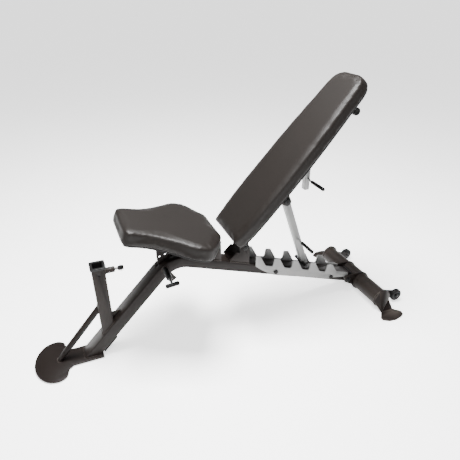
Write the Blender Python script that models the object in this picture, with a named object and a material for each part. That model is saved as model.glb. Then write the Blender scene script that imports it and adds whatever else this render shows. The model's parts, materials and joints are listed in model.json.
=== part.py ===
"""Adjustable weight bench: a bent main tube on a front foot plate and a rear cross tube, with a
tilting seat, a hinged backrest held by a strut in a notched ladder, and a receiver post in front.

Metres, +Z up. Distances called x run from the front tip of the bench towards the rear; the
`bench` empty moves that scale so that the origin is on the floor under the middle of the bench.
"""

import math

import bmesh
import bpy
from mathutils import Matrix, Vector

for old in list(bpy.data.objects):
    bpy.data.objects.remove(old)

# ---- driving dimensions --------------------------------------------------------------------
GAP = 0.0003            # between pieces that touch

SOLE_T = 0.003          # rubber under the front foot plate
PLATE_T = 0.006         # steel foot plates
HEAD_HALF = 0.101       # front foot plate, half of its widest width
HEAD_LEN = 0.129        # from the tip to the narrow neck
NECK_HALF = 0.042
NECK_LEN = 0.107

TUBE_W = 0.060          # main tube across the bench
TUBE_H = 0.044          # main tube depth
TUBE_WALL = 0.002
TUBE_R = 0.006          # its corner radius
LEG_ANGLE = math.radians(46.1)
LEG_X0 = 0.190          # where the front leg's middle line meets the floor
BEND_R = 0.100
BEND_X = 0.520          # where the two straight middle lines meet
TUBE_END_X = 1.300
TUBE_END_Z = 0.0644     # height of the middle line at the rear end

POST_X = 0.267          # middle of the receiver post
POST_D = 0.044          # post size along the bench
POST_W = 0.046          # post size across the bench
POST_WALL = 0.002
POST_TOP = 0.3685
INSERT_T = 0.0035       # plastic insert: lip and sleeve wall
INSERT_SKIRT = 0.004
INSERT_DEPTH = 0.085
PIN_Z = 0.343           # pull-pin height on the post
PIN_R = 0.004
PIN_HOLE = 0.0006       # clearance round a pull-pin
BARREL_R = 0.0105
BARREL_LEN = 0.033      # receiver pull-pin
LOCK_BARREL_LEN = 0.060 # seat lock
LOCK_HANDLE_OUT = 0.100 # from the tube's side to the middle of the T handle
PIN_TRAVEL = 0.010

BRACE_R = 0.011
BRACE_TOP_Z = 0.193
BRACE_FOOT_X = 0.084
GUSSET_LEN = 0.030      # behind the post

SEAT_TILT = math.radians(15.0)
SEAT_PIVOT = (0.686, 0.365)
SEAT_REF = (0.650, 0.450)   # point of the seat's top plane that its outline is measured from
SEAT_T = 0.046
BOARD_T = 0.009
SEAT_REAR = 0.040
SEAT_HALF = 0.189
SEAT_NOSE = 0.305
ARC_IN = 0.190          # arc plate, from the seat pivot
ARC_OUT = 0.218
ARC_T = 0.006
HEAD_IN = 0.172         # its wider head, from the seat pivot
ARC_LOW = math.radians(37.0)
ARC_PIN = math.radians(13.4)
ARC_STEP = math.radians(8.0)

BACK_ANGLE = math.radians(47.5)
BACK_PIVOT = (0.795, 0.335)
BACK_RISE = 0.104       # from the pivot to the pad's front face
BACK_LEN = 0.714
BACK_T = 0.040
BACK_HALF = 0.1155
RAIL_W = 0.050          # backrest rail across the bench
RAIL_H = 0.025

STRUT_U = 0.230         # strut pivot along the pad from the hinge
STRUT_N = -0.029        # and in front of the hinge
STRUT_D = 0.028         # strut section along the bench
STRUT_W = 0.026         # and across
STRUT_WALL = 0.002
ROD_ASIDE = 0.00887       # ladder rod's middle off the strut's middle line
ROD_R = 0.0070          # ladder rod
ROD_X = 1.067            # where it rests in the third notch
ROD_RISE = 0.0419        # above the main tube's middle line

PROP_U = 0.3936         # short prop pivot on the backrest
PROP_N = 0.008
PROP_LEN = 0.112
PROP_D = 0.020          # its section along the bench

CHEEK_GAP = 0.030       # half the space between the hinge cheeks
CHEEK_T = 0.004
BOLT_R = 0.005

BUMPER_U = 0.627        # roller under the head of the backrest
BUMPER_N = 0.004
BUMPER_R = 0.014
BUMPER_HALF = 0.040

LADDER_T = 0.005
LADDER_IN = 0.0360      # inner face of each ladder plate from the middle
LADDER_BOLTS = (0.927, 1.198)
TOOTH_X = 0.838          # tip of the first tooth
TOOTH_RISE = 0.0626      # above the main tube's middle line
TOOTH_STEP = 0.0848
BUSH_R = 0.009

CROSS_BEHIND = 0.053    # cross tube's middle behind the main tube's end
CROSS_Z = 0.045
CROSS_R = 0.036
CROSS_WALL = 0.002
CROSS_HALF = 0.189
LUG_IN = 0.0445
LUG_T = 0.005
SLEEVE_HALF = 0.062
SLEEVE_T = 0.002
DISC_R = 0.0385
LUG_R = 0.042
LEAF_HALF = 0.283       # outer end of the rear foot plates
WHEEL_R = 0.026
WHEEL_W = 0.018
WHEEL_BEHIND = 0.088    # axle behind the cross tube's middle
WHEEL_Y = 0.177
WHEEL_Z = 0.032

FALL_ANGLE = math.atan2((BEND_X - LEG_X0) * math.tan(LEG_ANGLE) - TUBE_END_Z, TUBE_END_X - BEND_X)
CROSS_X = TUBE_END_X + CROSS_BEHIND
WHEEL_X = CROSS_X + WHEEL_BEHIND
LENGTH = WHEEL_X + WHEEL_R
SIDES = ((-1, "near"), (1, "far"))


# ---- materials -----------------------------------------------------------------------------
def material(name, colour, roughness, metallic=0.0):
    made = bpy.data.materials.new(name)
    made.use_nodes = True
    shader = made.node_tree.nodes["Principled BSDF"]
    shader.inputs["Base Color"].default_value = (*colour, 1)
    shader.inputs["Roughness"].default_value = roughness
    shader.inputs["Metallic"].default_value = metallic
    return made


POWDER = material("frame_powder_coat", (0.045, 0.040, 0.038), 0.45)
SILVER = material("silver_paint", (0.62, 0.62, 0.61), 0.35, 0.4)
STEEL = material("bright_steel", (0.55, 0.55, 0.55), 0.30, 1.0)
BLACK = material("black_plastic", (0.012, 0.012, 0.013), 0.45)
RUBBER = material("black_rubber", (0.018, 0.018, 0.018), 0.80)
VINYL = material("pad_vinyl", (0.035, 0.028, 0.026), 0.50)
BOARD = material("pad_board", (0.020, 0.018, 0.018), 0.70)


# ---- helpers -------------------------------------------------------------------------------
def empty(name, at, parent=None):
    made = bpy.data.objects.new(name, None)
    bpy.context.collection.objects.link(made)
    made.parent = parent
    made.location = at
    return made


BENCH = empty("bench", (-LENGTH / 2, 0, 0))


def place(name, mesh, look, origin=(0, 0, 0), parent=None):
    """An object whose mesh was built in bench distances, with its own origin at `origin`."""
    mesh.transform(Matrix.Translation(-Vector(origin)))
    made = bpy.data.objects.new(name, mesh)
    bpy.context.collection.objects.link(made)
    made.parent = parent or BENCH
    made.location = Vector(origin) - Vector(parent.location if parent else (0, 0, 0))
    if look:
        mesh.materials.append(look)
    return made


def skin(loops, close=False):
    """A mesh through loops of points: capped at its ends, or closed round into a ring."""
    bm = bmesh.new()
    rings = [[bm.verts.new(point) for point in loop] for loop in loops]
    count = len(rings[0])
    pairs = list(zip(rings, rings[1:] + (rings[:1] if close else [])))
    for low, high in pairs if close else pairs[: len(rings) - 1]:
        for i in range(count):
            j = (i + 1) % count
            bm.faces.new((low[i], low[j], high[j], high[i]))
    if not close:
        bm.faces.new(rings[0])
        bm.faces.new(rings[-1])
    bmesh.ops.recalc_face_normals(bm, faces=bm.faces)
    mesh = bpy.data.meshes.new("shape")
    bm.to_mesh(mesh)
    bm.free()
    if mesh_volume(mesh) < 0:
        mesh.flip_normals()
    return mesh


def mesh_volume(mesh):
    bm = bmesh.new()
    bm.from_mesh(mesh)
    found = bm.calc_volume(signed=True)
    bm.free()
    return found


def hollow(outer, inner):
    """A tube from its outer loops and its inner loops, open at both ends."""
    return skin(list(outer) + list(reversed(inner)), close=True)


def smooth(obj, degrees=40):
    obj.data.shade_smooth()
    obj.data.set_sharp_from_angle(angle=math.radians(degrees))
    return obj


def arc(centre, radius, start, end, steps):
    """Points on a circle, angles in degrees."""
    turns = [math.radians(start + (end - start) * i / steps) for i in range(steps + 1)]
    return [(centre[0] + radius * math.cos(t), centre[1] + radius * math.sin(t)) for t in turns]


def rounded(half_a, half_b, radius, steps=2):
    """A rectangle with round corners, counter-clockwise."""
    a, b = half_a - radius, half_b - radius
    corners = ((a, b, 0), (-a, b, 90), (-a, -b, 180), (a, -b, 270))
    return [p for x, y, t in corners for p in arc((x, y), radius, t, t + 90, steps)]


def plate_xz(outline, y0, y1):
    return skin([[(x, y, z) for x, z in outline] for y in (y0, y1)])


def plate_xy(outline, z0, z1):
    return skin([[(x, y, z) for x, y in outline] for z in (z0, z1)])


def frame_along(direction):
    """Two directions square to this one: across the bench first where that is possible."""
    along = Vector(direction).normalized()
    across = Vector((0, 1, 0))
    if abs(along.y) > 0.99:
        across = Vector((1, 0, 0))
    across = (across - along * across.dot(along)).normalized()
    return across, along.cross(across)


def section_at(point, direction, section):
    across, up = frame_along(direction)
    return [Vector(point) + across * a + up * b for a, b in section]


def bar(start, end, section):
    direction = Vector(end) - Vector(start)
    return skin([section_at(p, direction, section) for p in (start, end)])


def circle(radius, sides=20):
    return arc((0, 0), radius, 0, 360 - 360 / sides, sides - 1)


def round_bar(start, end, radius, sides=20):
    return bar(start, end, circle(radius, sides))


def turned(start, end, profile, sides=20):
    """A solid turned about start-end; profile holds (share of the way in metres, radius)."""
    direction = (Vector(end) - Vector(start)).normalized()
    loops = [section_at(Vector(start) + direction * s, direction, circle(r, sides))
             for s, r in profile]
    return skin(loops)


def turned_ring(start, end, outer, inner, sides=20):
    direction = (Vector(end) - Vector(start)).normalized()

    def loops(profile):
        return [section_at(Vector(start) + direction * s, direction, circle(r, sides))
                for s, r in profile]

    return hollow(loops(outer), loops(inner))


def ring(start, end, outer, inner, sides=20):
    span = (Vector(end) - Vector(start)).length
    return turned_ring(start, end, [(0, outer), (span, outer)], [(0, inner), (span, inner)], sides)


def cut(obj, mesh, name):
    """Takes a shape, given in bench distances, out of an object."""
    tool = place(f"{obj.name}_{name}", mesh, None)
    tool.hide_render = True
    tool.display_type = "WIRE"
    modifier = obj.modifiers.new(name, "BOOLEAN")
    modifier.operation = "DIFFERENCE"
    modifier.object = tool


def fuse(obj, mesh, name):
    """Welds a shape, given in bench distances, onto an object."""
    cut(obj, mesh, name)
    obj.modifiers[name].operation = "UNION"


def across_hole(x, z, radius, sides=16):
    """A cutter that goes right across the bench."""
    return round_bar((x, -0.1, z), (x, 0.1, z), radius, sides)


def bolt_y(name, x, z, reach, radius, head, parent=None, origin=None, look=STEEL):
    """A bolt across the bench, with a low round head at each end."""
    thick = 0.005
    profile = [(0, head * 0.8), (0.0015, head), (thick, head), (thick, radius),
               (thick + 2 * reach, radius), (thick + 2 * reach, head),
               (2 * thick + 2 * reach - 0.0015, head), (2 * thick + 2 * reach, head * 0.8)]
    start = (x, -reach - thick, z)
    mesh = turned(start, (x, reach + thick, z), profile, 20)
    return smooth(place(name, mesh, look, origin or (x, 0, z), parent))


# ---- main tube -----------------------------------------------------------------------------
def leg_z(x):
    return (x - LEG_X0) * math.tan(LEG_ANGLE)


def run_z(x):
    return leg_z(BEND_X) - (x - BEND_X) * math.tan(FALL_ANGLE)


def run_top(x):
    return run_z(x) + TUBE_H / 2 / math.cos(FALL_ANGLE)


def leg_top(x):
    return leg_z(x) + TUBE_H / 2 / math.cos(LEG_ANGLE)


PLATE_TOP = SOLE_T + GAP + PLATE_T
LEG_DIR = Vector((math.cos(LEG_ANGLE), 0, math.sin(LEG_ANGLE)))
RUN_DIR = Vector((math.cos(FALL_ANGLE), 0, -math.sin(FALL_ANGLE)))


def tube_loops(inset):
    """Sections of the main tube from the foot plate, round the bend, to its rear end."""
    section = rounded(TUBE_W / 2 - inset, TUBE_H / 2 - inset, TUBE_R - inset)
    corner = Vector((BEND_X, 0, leg_z(BEND_X)))
    turn = LEG_ANGLE + FALL_ANGLE
    back_off = BEND_R * math.tan(turn / 2)
    foot = section_at((LEG_X0, 0, 0), LEG_DIR, section)
    mitred = [p + LEG_DIR * ((PLATE_TOP + GAP - p.z) / LEG_DIR.z) for p in foot]
    loops = [mitred]
    centre = corner - LEG_DIR * back_off + Vector((LEG_DIR.z, 0, -LEG_DIR.x)) * BEND_R
    steps = 10
    for i in range(steps + 1):
        pitch = LEG_ANGLE - turn * i / steps
        along = Vector((math.cos(pitch), 0, math.sin(pitch)))
        outward = Vector((-along.z, 0, along.x))
        loops.append(section_at(centre + outward * BEND_R, along, section))
    loops.append(section_at((TUBE_END_X, 0, run_z(TUBE_END_X)), RUN_DIR, section))
    return loops


def pivot_point(pivot, angle, radius):
    """A point in front of a pivot, `angle` below the level."""
    return (pivot[0] - radius * math.cos(angle), pivot[1] - radius * math.sin(angle))


main_tube = smooth(place("main_tube", hollow(tube_loops(0), tube_loops(TUBE_WALL)), POWDER), 35)

arc_mid = (ARC_IN + ARC_OUT) / 2
lock_x, lock_z = pivot_point(SEAT_PIVOT, ARC_PIN, arc_mid)
slot_front = SEAT_PIVOT[0] - ARC_OUT - 0.006
slot_rear = SEAT_PIVOT[0] - ARC_IN * math.cos(ARC_LOW) + 0.004
slot_half = ARC_T / 2 + 0.0015
cut(main_tube, plate_xz([(slot_front, 0.20), (slot_rear + 0.014, 0.20), (slot_rear - 0.006, 0.40),
                         (slot_front, 0.40)], -slot_half, slot_half), "arc_slot")
cut(main_tube, round_bar((lock_x, -0.05, lock_z), (lock_x, 0, lock_z), PIN_R + PIN_HOLE),
    "lock_hole")

# ---- front foot ----------------------------------------------------------------------------
def foot_outline(inset=0.0):
    """One half of the plate's outline, front tip to neck, then mirrored."""
    half = HEAD_HALF - inset
    nose = 0.073
    front = [(nose - (nose - inset) * math.cos(math.radians(t)), half * math.sin(math.radians(t)))
             for t in range(0, 91, 9)]
    shoulder = [(nose + 0.036 * math.sin(math.radians(t)) * (1 - inset / 0.05),
                 half - 0.031 * (1 - math.cos(math.radians(t)))) for t in range(15, 91, 15)]
    neck = [(HEAD_LEN - 0.015, NECK_HALF + 0.012 - inset), (HEAD_LEN, NECK_HALF - inset),
            (HEAD_LEN + NECK_LEN - inset, NECK_HALF - inset)]
    side = front + shoulder + neck
    return side + [(x, -y) for x, y in reversed(side) if y > 1e-6]


place("front_foot_plate", plate_xy(foot_outline(), SOLE_T + GAP, PLATE_TOP), POWDER)
place("front_foot_sole", plate_xy(foot_outline(0.003), 0, SOLE_T), RUBBER)

doubler_x = HEAD_LEN + NECK_LEN + 0.004
doubler_under = 0.005


def under_leg(x, drop):
    return leg_z(x) - (TUBE_H / 2 + drop) / math.cos(LEG_ANGLE)


doubler_end = doubler_x + 0.050
doubler = [(doubler_x, under_leg(doubler_x, GAP)), (doubler_end, under_leg(doubler_end, GAP)),
           (doubler_end + 0.003, under_leg(doubler_end + 0.003, doubler_under)),
           (doubler_x + 0.001, under_leg(doubler_x + 0.001, doubler_under))]
place("leg_doubler", plate_xz(doubler, -0.028, 0.028), RUBBER)

# ---- receiver post, brace and gusset ---------------------------------------------------------
def post_loops(inset, top):
    section = rounded(POST_D / 2 - inset, POST_W / 2 - inset, 0.004 - inset * 0.5)
    foot = [(POST_X + a, b, leg_top(POST_X + a) + GAP) for a, b in section]
    return [foot, [(x, y, top) for x, y, z in foot]]


post = smooth(place("receiver_post", hollow(post_loops(0, POST_TOP),
                                            post_loops(POST_WALL, POST_TOP)), POWDER))
pin_face = POST_X + POST_D / 2
cut(post, round_bar((POST_X, 0, PIN_Z), (pin_face + 0.01, 0, PIN_Z), PIN_R + PIN_HOLE), "pin_hole")
cut(post, round_bar((POST_X, -0.05, PIN_Z), (POST_X, 0, PIN_Z), 0.0035), "side_hole")


def square_loop(half_a, half_b, z, radius=0.003):
    return [(POST_X + a, b, z) for a, b in rounded(half_a, half_b, radius)]


lip_a = POST_D / 2 + GAP + INSERT_T
lip_b = POST_W / 2 + GAP + INSERT_T
in_a = POST_D / 2 - POST_WALL - GAP
in_b = POST_W / 2 - POST_WALL - GAP
bore_a = in_a - INSERT_T
bore_b = in_b - INSERT_T
insert_outer = [square_loop(in_a, in_b, POST_TOP - INSERT_DEPTH),
                square_loop(in_a, in_b, POST_TOP + GAP),
                square_loop(POST_D / 2 + GAP, POST_W / 2 + GAP, POST_TOP + GAP),
                square_loop(POST_D / 2 + GAP, POST_W / 2 + GAP, POST_TOP - INSERT_SKIRT),
                square_loop(lip_a, lip_b, POST_TOP - INSERT_SKIRT, 0.005),
                square_loop(lip_a, lip_b, POST_TOP + INSERT_T, 0.005)]
insert_bore = [square_loop(bore_a, bore_b, POST_TOP - INSERT_DEPTH, 0.002),
               square_loop(bore_a, bore_b, POST_TOP + INSERT_T, 0.002)]
insert = smooth(place("receiver_insert", hollow(insert_outer, insert_bore), BLACK))
cut(insert, round_bar((POST_X, 0, PIN_Z), (pin_face + 0.01, 0, PIN_Z), PIN_R + PIN_HOLE), "pin_hole")

brace_top_x = POST_X - POST_D / 2 - GAP
foot_width = 1.25
foot_depth = 0.50


def brace_loops(radius):
    """A round tube that is pressed flat towards its foot, with both ends mitred."""
    top = Vector((brace_top_x, 0, BRACE_TOP_Z))
    foot = Vector((BRACE_FOOT_X, 0, PLATE_TOP + GAP))
    along = (foot - top).normalized()
    loops = []
    for share, wide, deep in ((0, 1, 1), (0.80, 1, 1), (0.90, 1.12, 0.80), (1, foot_width, foot_depth)):
        section = [(a * wide, b * deep) for a, b in circle(radius, 20)]
        loops.append(section_at(top.lerp(foot, share), along, section))
    loops[0] = [p + along * ((brace_top_x - p.x) / along.x) for p in loops[0]]
    loops[-1] = [p + along * ((foot.z - p.z) / along.z) for p in loops[-1]]
    return loops


smooth(place("post_brace", hollow(brace_loops(BRACE_R), brace_loops(BRACE_R - 0.002)), POWDER))

gusset_x = pin_face + GAP
gusset_end = gusset_x + GUSSET_LEN
gusset = [(gusset_x, leg_top(gusset_x) + GAP), (gusset_end, leg_top(gusset_end) + GAP),
          (gusset_x, leg_top(gusset_end) + GAP)]
place("post_gusset", plate_xz(gusset, -0.003, 0.003), POWDER)


# ---- sprung pull-pins ------------------------------------------------------------------------
def coil(name, start, end, radius, wire, turns, parent=None):
    """A helical spring as one bevelled curve."""
    curve = bpy.data.curves.new(name, "CURVE")
    curve.dimensions = "3D"
    curve.bevel_depth = wire
    curve.bevel_resolution = 1
    curve.use_fill_caps = True
    line = curve.splines.new("POLY")
    steps = turns * 10
    line.points.add(steps)
    across, up = frame_along(Vector(end) - Vector(start))
    for i in range(steps + 1):
        turn = 2 * math.pi * turns * i / steps
        point = Vector(start).lerp(Vector(end), i / steps)
        point += across * radius * math.cos(turn) + up * radius * math.sin(turn)
        line.points[i].co = (*point, 1)
    made = bpy.data.objects.new(name, curve)
    bpy.context.collection.objects.link(made)
    made.parent = parent or BENCH
    curve.materials.append(STEEL)
    return made


COLLAR = 0.003
SPRING_R = 0.0062
WIRE_R = 0.0007


def barrel(name, face, outward, length, look):
    """A welded barrel with a bored end, on a face, pointing outward."""
    end = face + outward * (length + GAP)
    bore = BARREL_R - 0.0025
    cap = length - 0.004
    mesh = turned_ring(face + outward * GAP, end,
                       [(0, BARREL_R), (length - 0.002, BARREL_R), (length, BARREL_R - 0.002)],
                       [(0, bore), (cap, bore), (cap, PIN_R + PIN_HOLE), (length, PIN_R + PIN_HOLE)])
    return smooth(place(name, mesh, look))


post_face = Vector((pin_face, 0, PIN_Z))
out_x = Vector((1, 0, 0))
barrel("receiver_pin_barrel", post_face, out_x, BARREL_LEN, POWDER)
pin_home = empty("receiver_pin_axis", post_face, BENCH)
inner_reach = POST_D / 2 - bore_a + 0.012
reach = inner_reach + BARREL_LEN + 0.018
collar_at = inner_reach + 0.004
pin_profile = [(0, PIN_R - 0.001), (0.001, PIN_R), (collar_at, PIN_R), (collar_at, SPRING_R + 0.0010),
               (collar_at + COLLAR, SPRING_R + 0.0010), (collar_at + COLLAR, PIN_R), (reach, PIN_R)]
smooth(place("receiver_pin", turned(post_face - out_x * inner_reach, post_face + out_x, pin_profile),
             STEEL, post_face, pin_home))
knob_start = post_face + out_x * (BARREL_LEN + 0.010)
knob = smooth(place("receiver_pin_knob", turned(
    knob_start, knob_start + out_x,
    [(0, 0.0062), (0.002, 0.0078), (0.006, 0.0084), (0.016, 0.0084), (0.019, 0.0075), (0.020, 0.005)]),
    BLACK, post_face, pin_home))
cut(knob, round_bar(knob_start - out_x * 0.001, knob_start + out_x * 0.0095, PIN_R + GAP), "bore")
spring_from = post_face + out_x * (0.004 + COLLAR + PIN_TRAVEL + 2 * WIRE_R)
spring_to = post_face + out_x * (BARREL_LEN - 0.004 - 2 * WIRE_R)
coil("receiver_pin_spring", spring_from, spring_to, SPRING_R, WIRE_R, 3)

# ---- seat ------------------------------------------------------------------------------------
def channel(name, side, pivot, look=POWDER):
    """A U-shaped hinge bracket on the falling run, drilled for its bolt; `side` is its top edge."""
    outer = CHEEK_GAP + CHEEK_T
    floor = 0.004
    loops = []
    for x, top in side:
        base = run_top(x) + GAP
        top = max(top, base + floor + 0.002)
        loops.append([(x, -outer, base), (x, outer, base), (x, outer, top), (x, CHEEK_GAP, top),
                      (x, CHEEK_GAP, base + floor), (x, -CHEEK_GAP, base + floor),
                      (x, -CHEEK_GAP, top), (x, -outer, top)])
    made = place(name, skin(loops), look)
    hole = round_bar((pivot[0], -0.06, pivot[1]), (pivot[0], 0.06, pivot[1]), BOLT_R + GAP)
    cut(made, hole, "bolt_hole")
    return made


def rounded_side(pivot, front, rear, rise, round_r):
    """The top edge of a bracket's cheeks, from `front` to `rear` of its pivot, with round corners."""
    x0, x1, top = pivot[0] - front, pivot[0] + rear, pivot[1] + rise
    ahead = arc((x0 + round_r, top - round_r), round_r, 180, 90, 4)
    return ahead + arc((x1 - round_r, top - round_r), round_r, 90, 0, 4)


channel("seat_hinge_bracket", rounded_side(SEAT_PIVOT, 0.014, 0.013, 0.011, 0.007), SEAT_PIVOT)
bolt_y("seat_hinge_bolt", *SEAT_PIVOT, CHEEK_GAP + CHEEK_T + GAP, BOLT_R, 0.009, look=BLACK)

seat_axis = empty("seat_axis", (SEAT_PIVOT[0], 0, SEAT_PIVOT[1]), BENCH)
seat_home = (SEAT_PIVOT[0], 0, SEAT_PIVOT[1])
seat_along = Vector((math.cos(SEAT_TILT), 0, -math.sin(SEAT_TILT)))
seat_up = Vector((math.sin(SEAT_TILT), 0, math.cos(SEAT_TILT)))
seat_ref = Vector((SEAT_REF[0], 0, SEAT_REF[1]))


def seat_point(s, y, depth):
    """A point s along the seat, y across it and `depth` under its top plane."""
    return seat_ref + seat_along * s + Vector((0, y, 0)) - seat_up * depth


def mirrored(half):
    return half + [(s, -y) for s, y in reversed(half) if y > 1e-6]


def bezier(p0, p1, p2, p3, steps):
    found = []
    for i in range(steps):
        t = i / steps
        w = ((1 - t) ** 3, 3 * t * (1 - t) ** 2, 3 * t * t * (1 - t), t ** 3)
        found.append(tuple(sum(k * p[n] for k, p in zip(w, (p0, p1, p2, p3))) for n in (0, 1)))
    return found


def seat_outline(inset=0.0):
    """Half of the seat: blunt nose, a waist, wide rear wings, and a narrow rear end."""
    nose = -SEAT_NOSE + inset
    wide = SEAT_HALF - inset
    rear = SEAT_REAR - inset
    half = bezier((nose, 0.070), (nose, 0.092 - inset), (-0.296, 0.101 - inset), (-0.275, 0.103 - inset), 5)
    half += bezier((-0.275, 0.103 - inset), (-0.215, 0.104 - inset), (-0.190, 0.118 - inset),
                   (-0.150, 0.141 - inset), 6)
    half += bezier((-0.150, 0.141 - inset), (-0.105, 0.167 - inset), (-0.095, wide), (-0.050, wide), 6)
    half += bezier((-0.050, wide), (-0.018, wide), (-0.012, 0.162 - inset), (0.008, 0.136 - inset), 5)
    half += bezier((0.008, 0.136 - inset), (0.020, 0.118 - inset), (0.026, 0.108 - inset),
                   (rear, 0.082 - inset), 4)
    half += [(rear, 0.082 - inset)]
    return mirrored(half)


def seat_slab(inset, top, bottom):
    rows = seat_outline(inset)
    return skin([[seat_point(s, y, depth) for s, y in rows] for depth in (top, bottom)])


place("seat_pad", seat_slab(0, 0, SEAT_T), VINYL, seat_home, seat_axis)
place("seat_board", seat_slab(0.010, SEAT_T + GAP, SEAT_T + BOARD_T), BOARD, seat_home, seat_axis)

under = SEAT_T + BOARD_T + GAP
carrier_half = CHEEK_GAP - 0.0008


def seat_depth_of(x, z):
    """How far a bench point is along the seat and under its top plane."""
    offset = Vector((x, 0, z)) - seat_ref
    return offset.dot(seat_along), -offset.dot(seat_up)


pivot_s, pivot_depth = seat_depth_of(*SEAT_PIVOT)
front_s, _ = seat_depth_of(SEAT_PIVOT[0] - arc_mid, SEAT_PIVOT[1])
rail_drop = 0.022
rail_profile = [(front_s - 0.020, under), (pivot_s + 0.012, under), (pivot_s + 0.012, pivot_depth + 0.006),
                (pivot_s + 0.006, pivot_depth + 0.011), (pivot_s - 0.006, pivot_depth + 0.011),
                (pivot_s - 0.030, under + rail_drop), (front_s + 0.030, under + rail_drop),
                (front_s - 0.020, under + 0.012)]


def seat_plate(profile, y0, y1):
    return skin([[seat_point(s, y, d) for s, d in profile] for y in (y0, y1)])


carrier = place("seat_carrier", seat_plate(rail_profile, -carrier_half, carrier_half), POWDER,
                seat_home, seat_axis)
carrier_web = 0.003
inside = carrier_half - 0.004
cut(carrier, seat_plate([(front_s - 0.05, under + carrier_web), (pivot_s + 0.05, under + carrier_web),
                         (pivot_s + 0.05, 0.2), (front_s - 0.05, 0.2)], -inside, inside), "inside")
cut(carrier, across_hole(SEAT_PIVOT[0], SEAT_PIVOT[1], BOLT_R + GAP), "bolt_hole")
spot = seat_point(front_s + 0.004, 0, under + 0.011)
cut(carrier, across_hole(spot.x, spot.z, 0.0045), "front_hole")

arc_start = -math.radians(9)


def arc_plate():
    """A curved plate about the seat pivot, with a foot that reaches up to the seat board."""
    steps = 14
    outer = [pivot_point(SEAT_PIVOT, arc_start + (ARC_LOW - arc_start) * i / steps, ARC_OUT)
             for i in range(steps + 1)]
    inner = [pivot_point(SEAT_PIVOT, arc_start + (ARC_LOW - arc_start) * i / steps, ARC_IN)
             for i in range(steps + 1)]
    head_front = seat_point(front_s - 0.016, 0, under + carrier_web + GAP)
    head_rear = seat_point(front_s + 0.028, 0, under + carrier_web + GAP)
    neck = [pivot_point(SEAT_PIVOT, math.radians(angle), HEAD_IN) for angle in (4.6, 3, 0)]
    outline = outer + [p for i, p in enumerate(reversed(inner)) if i < 9]
    outline += neck + [(head_rear.x, head_rear.z), (head_front.x, head_front.z)]
    return plate_xz(outline, -ARC_T / 2, ARC_T / 2)


arc_obj = place("seat_arc_plate", arc_plate(), POWDER, seat_home, seat_axis)
holes = [(ARC_PIN + i * ARC_STEP, arc_mid) for i in range(3)]
holes += [(math.radians(2.9), 0.2073), (math.radians(1.6), 0.1868)]
for i, (angle, radius) in enumerate(holes):
    hole_x, hole_z = pivot_point(SEAT_PIVOT, angle, radius)
    cut(arc_obj, round_bar((hole_x, -0.02, hole_z), (hole_x, 0.02, hole_z), PIN_R + PIN_HOLE), f"hole_{i}")

tube_face = Vector((lock_x, -TUBE_W / 2, lock_z))
out_y = Vector((0, -1, 0))
barrel("seat_lock_barrel", tube_face, out_y, LOCK_BARREL_LEN, BLACK)
lock_home = empty("seat_lock_axis", tube_face, BENCH)
lock_in = TUBE_W / 2 - ARC_T / 2 - 2 * GAP
lock_reach = lock_in + LOCK_HANDLE_OUT - 0.004
lock_profile = [(0, PIN_R - 0.001), (0.001, PIN_R), (lock_in + 0.004, PIN_R),
                (lock_in + 0.004, SPRING_R + 0.001), (lock_in + 0.004 + COLLAR, SPRING_R + 0.001),
                (lock_in + 0.004 + COLLAR, PIN_R), (lock_reach, PIN_R)]
smooth(place("seat_lock_pin", turned(tube_face - out_y * lock_in, tube_face + out_y, lock_profile),
             STEEL, tube_face, lock_home))
t_at = tube_face + out_y * LOCK_HANDLE_OUT
t_tilt = math.radians(5.5)
t_dir = Vector((math.cos(t_tilt), 0, math.sin(t_tilt)))
t_len = 0.048
t_profile = [(0, 0.004), (0.002, 0.0066), (0.006, 0.0076), (t_len / 2, 0.0070), (t_len - 0.006, 0.0076),
             (t_len - 0.002, 0.0066), (t_len, 0.004)]
t_start = t_at - t_dir * t_len / 2
handle = smooth(place("seat_lock_handle", turned(t_start, t_at, t_profile), BLACK, tube_face, lock_home))
cut(handle, round_bar(t_at - out_y * 0.012, t_at - out_y * 0.0035, PIN_R + GAP), "bore")
coil("seat_lock_spring", tube_face + out_y * (0.004 + COLLAR + PIN_TRAVEL + 2 * WIRE_R),
     tube_face + out_y * (LOCK_BARREL_LEN - 0.004 - 2 * WIRE_R), SPRING_R, WIRE_R, 5)

# ---- backrest --------------------------------------------------------------------------------
back_home = (BACK_PIVOT[0], 0, BACK_PIVOT[1])
back_axis = empty("back_axis", back_home, BENCH)
back_u = Vector((math.cos(BACK_ANGLE), 0, math.sin(BACK_ANGLE)))
back_n = Vector((-math.sin(BACK_ANGLE), 0, math.cos(BACK_ANGLE)))


def back_point(u, y, n):
    """A point u up the backrest from the hinge, y across, n in front of the hinge."""
    return Vector(back_home) + back_u * u + back_n * n + Vector((0, y, 0))


def back_outline(inset=0.0):
    """Half of the backrest: square foot, full middle, slightly narrower head with a round end."""
    full = BACK_HALF - inset
    end = BACK_LEN - inset
    half = [(inset, 0.092)] + bezier((inset, 0.102 - inset), (0.040, 0.109 - inset), (0.080, full),
                                     (0.180, full), 6)
    half += bezier((0.180, full), (0.360, full), (0.450, 0.111 - inset), (0.600, 0.096 - inset), 7)
    half += bezier((0.600, 0.096 - inset), (0.668, 0.0915 - inset), (0.708 - inset, 0.092 - inset),
                   (end, 0.034), 8)
    half += [(end, 0.034)]
    return mirrored(half)


def back_slab(inset, high, low):
    rows = back_outline(inset)
    return skin([[back_point(u, y, n) for u, y in rows] for n in (high, low)])


pad_back = BACK_RISE - BACK_T
board_back = pad_back - BOARD_T
place("back_pad", back_slab(0, BACK_RISE, pad_back), VINYL, back_home, back_axis)
place("back_board", back_slab(0.008, pad_back - GAP, board_back), BOARD, back_home, back_axis)

rail_top = board_back - GAP
rail_low = rail_top - RAIL_H
rail_from = 0.034
rail_to = BUMPER_U + 0.018


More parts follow.
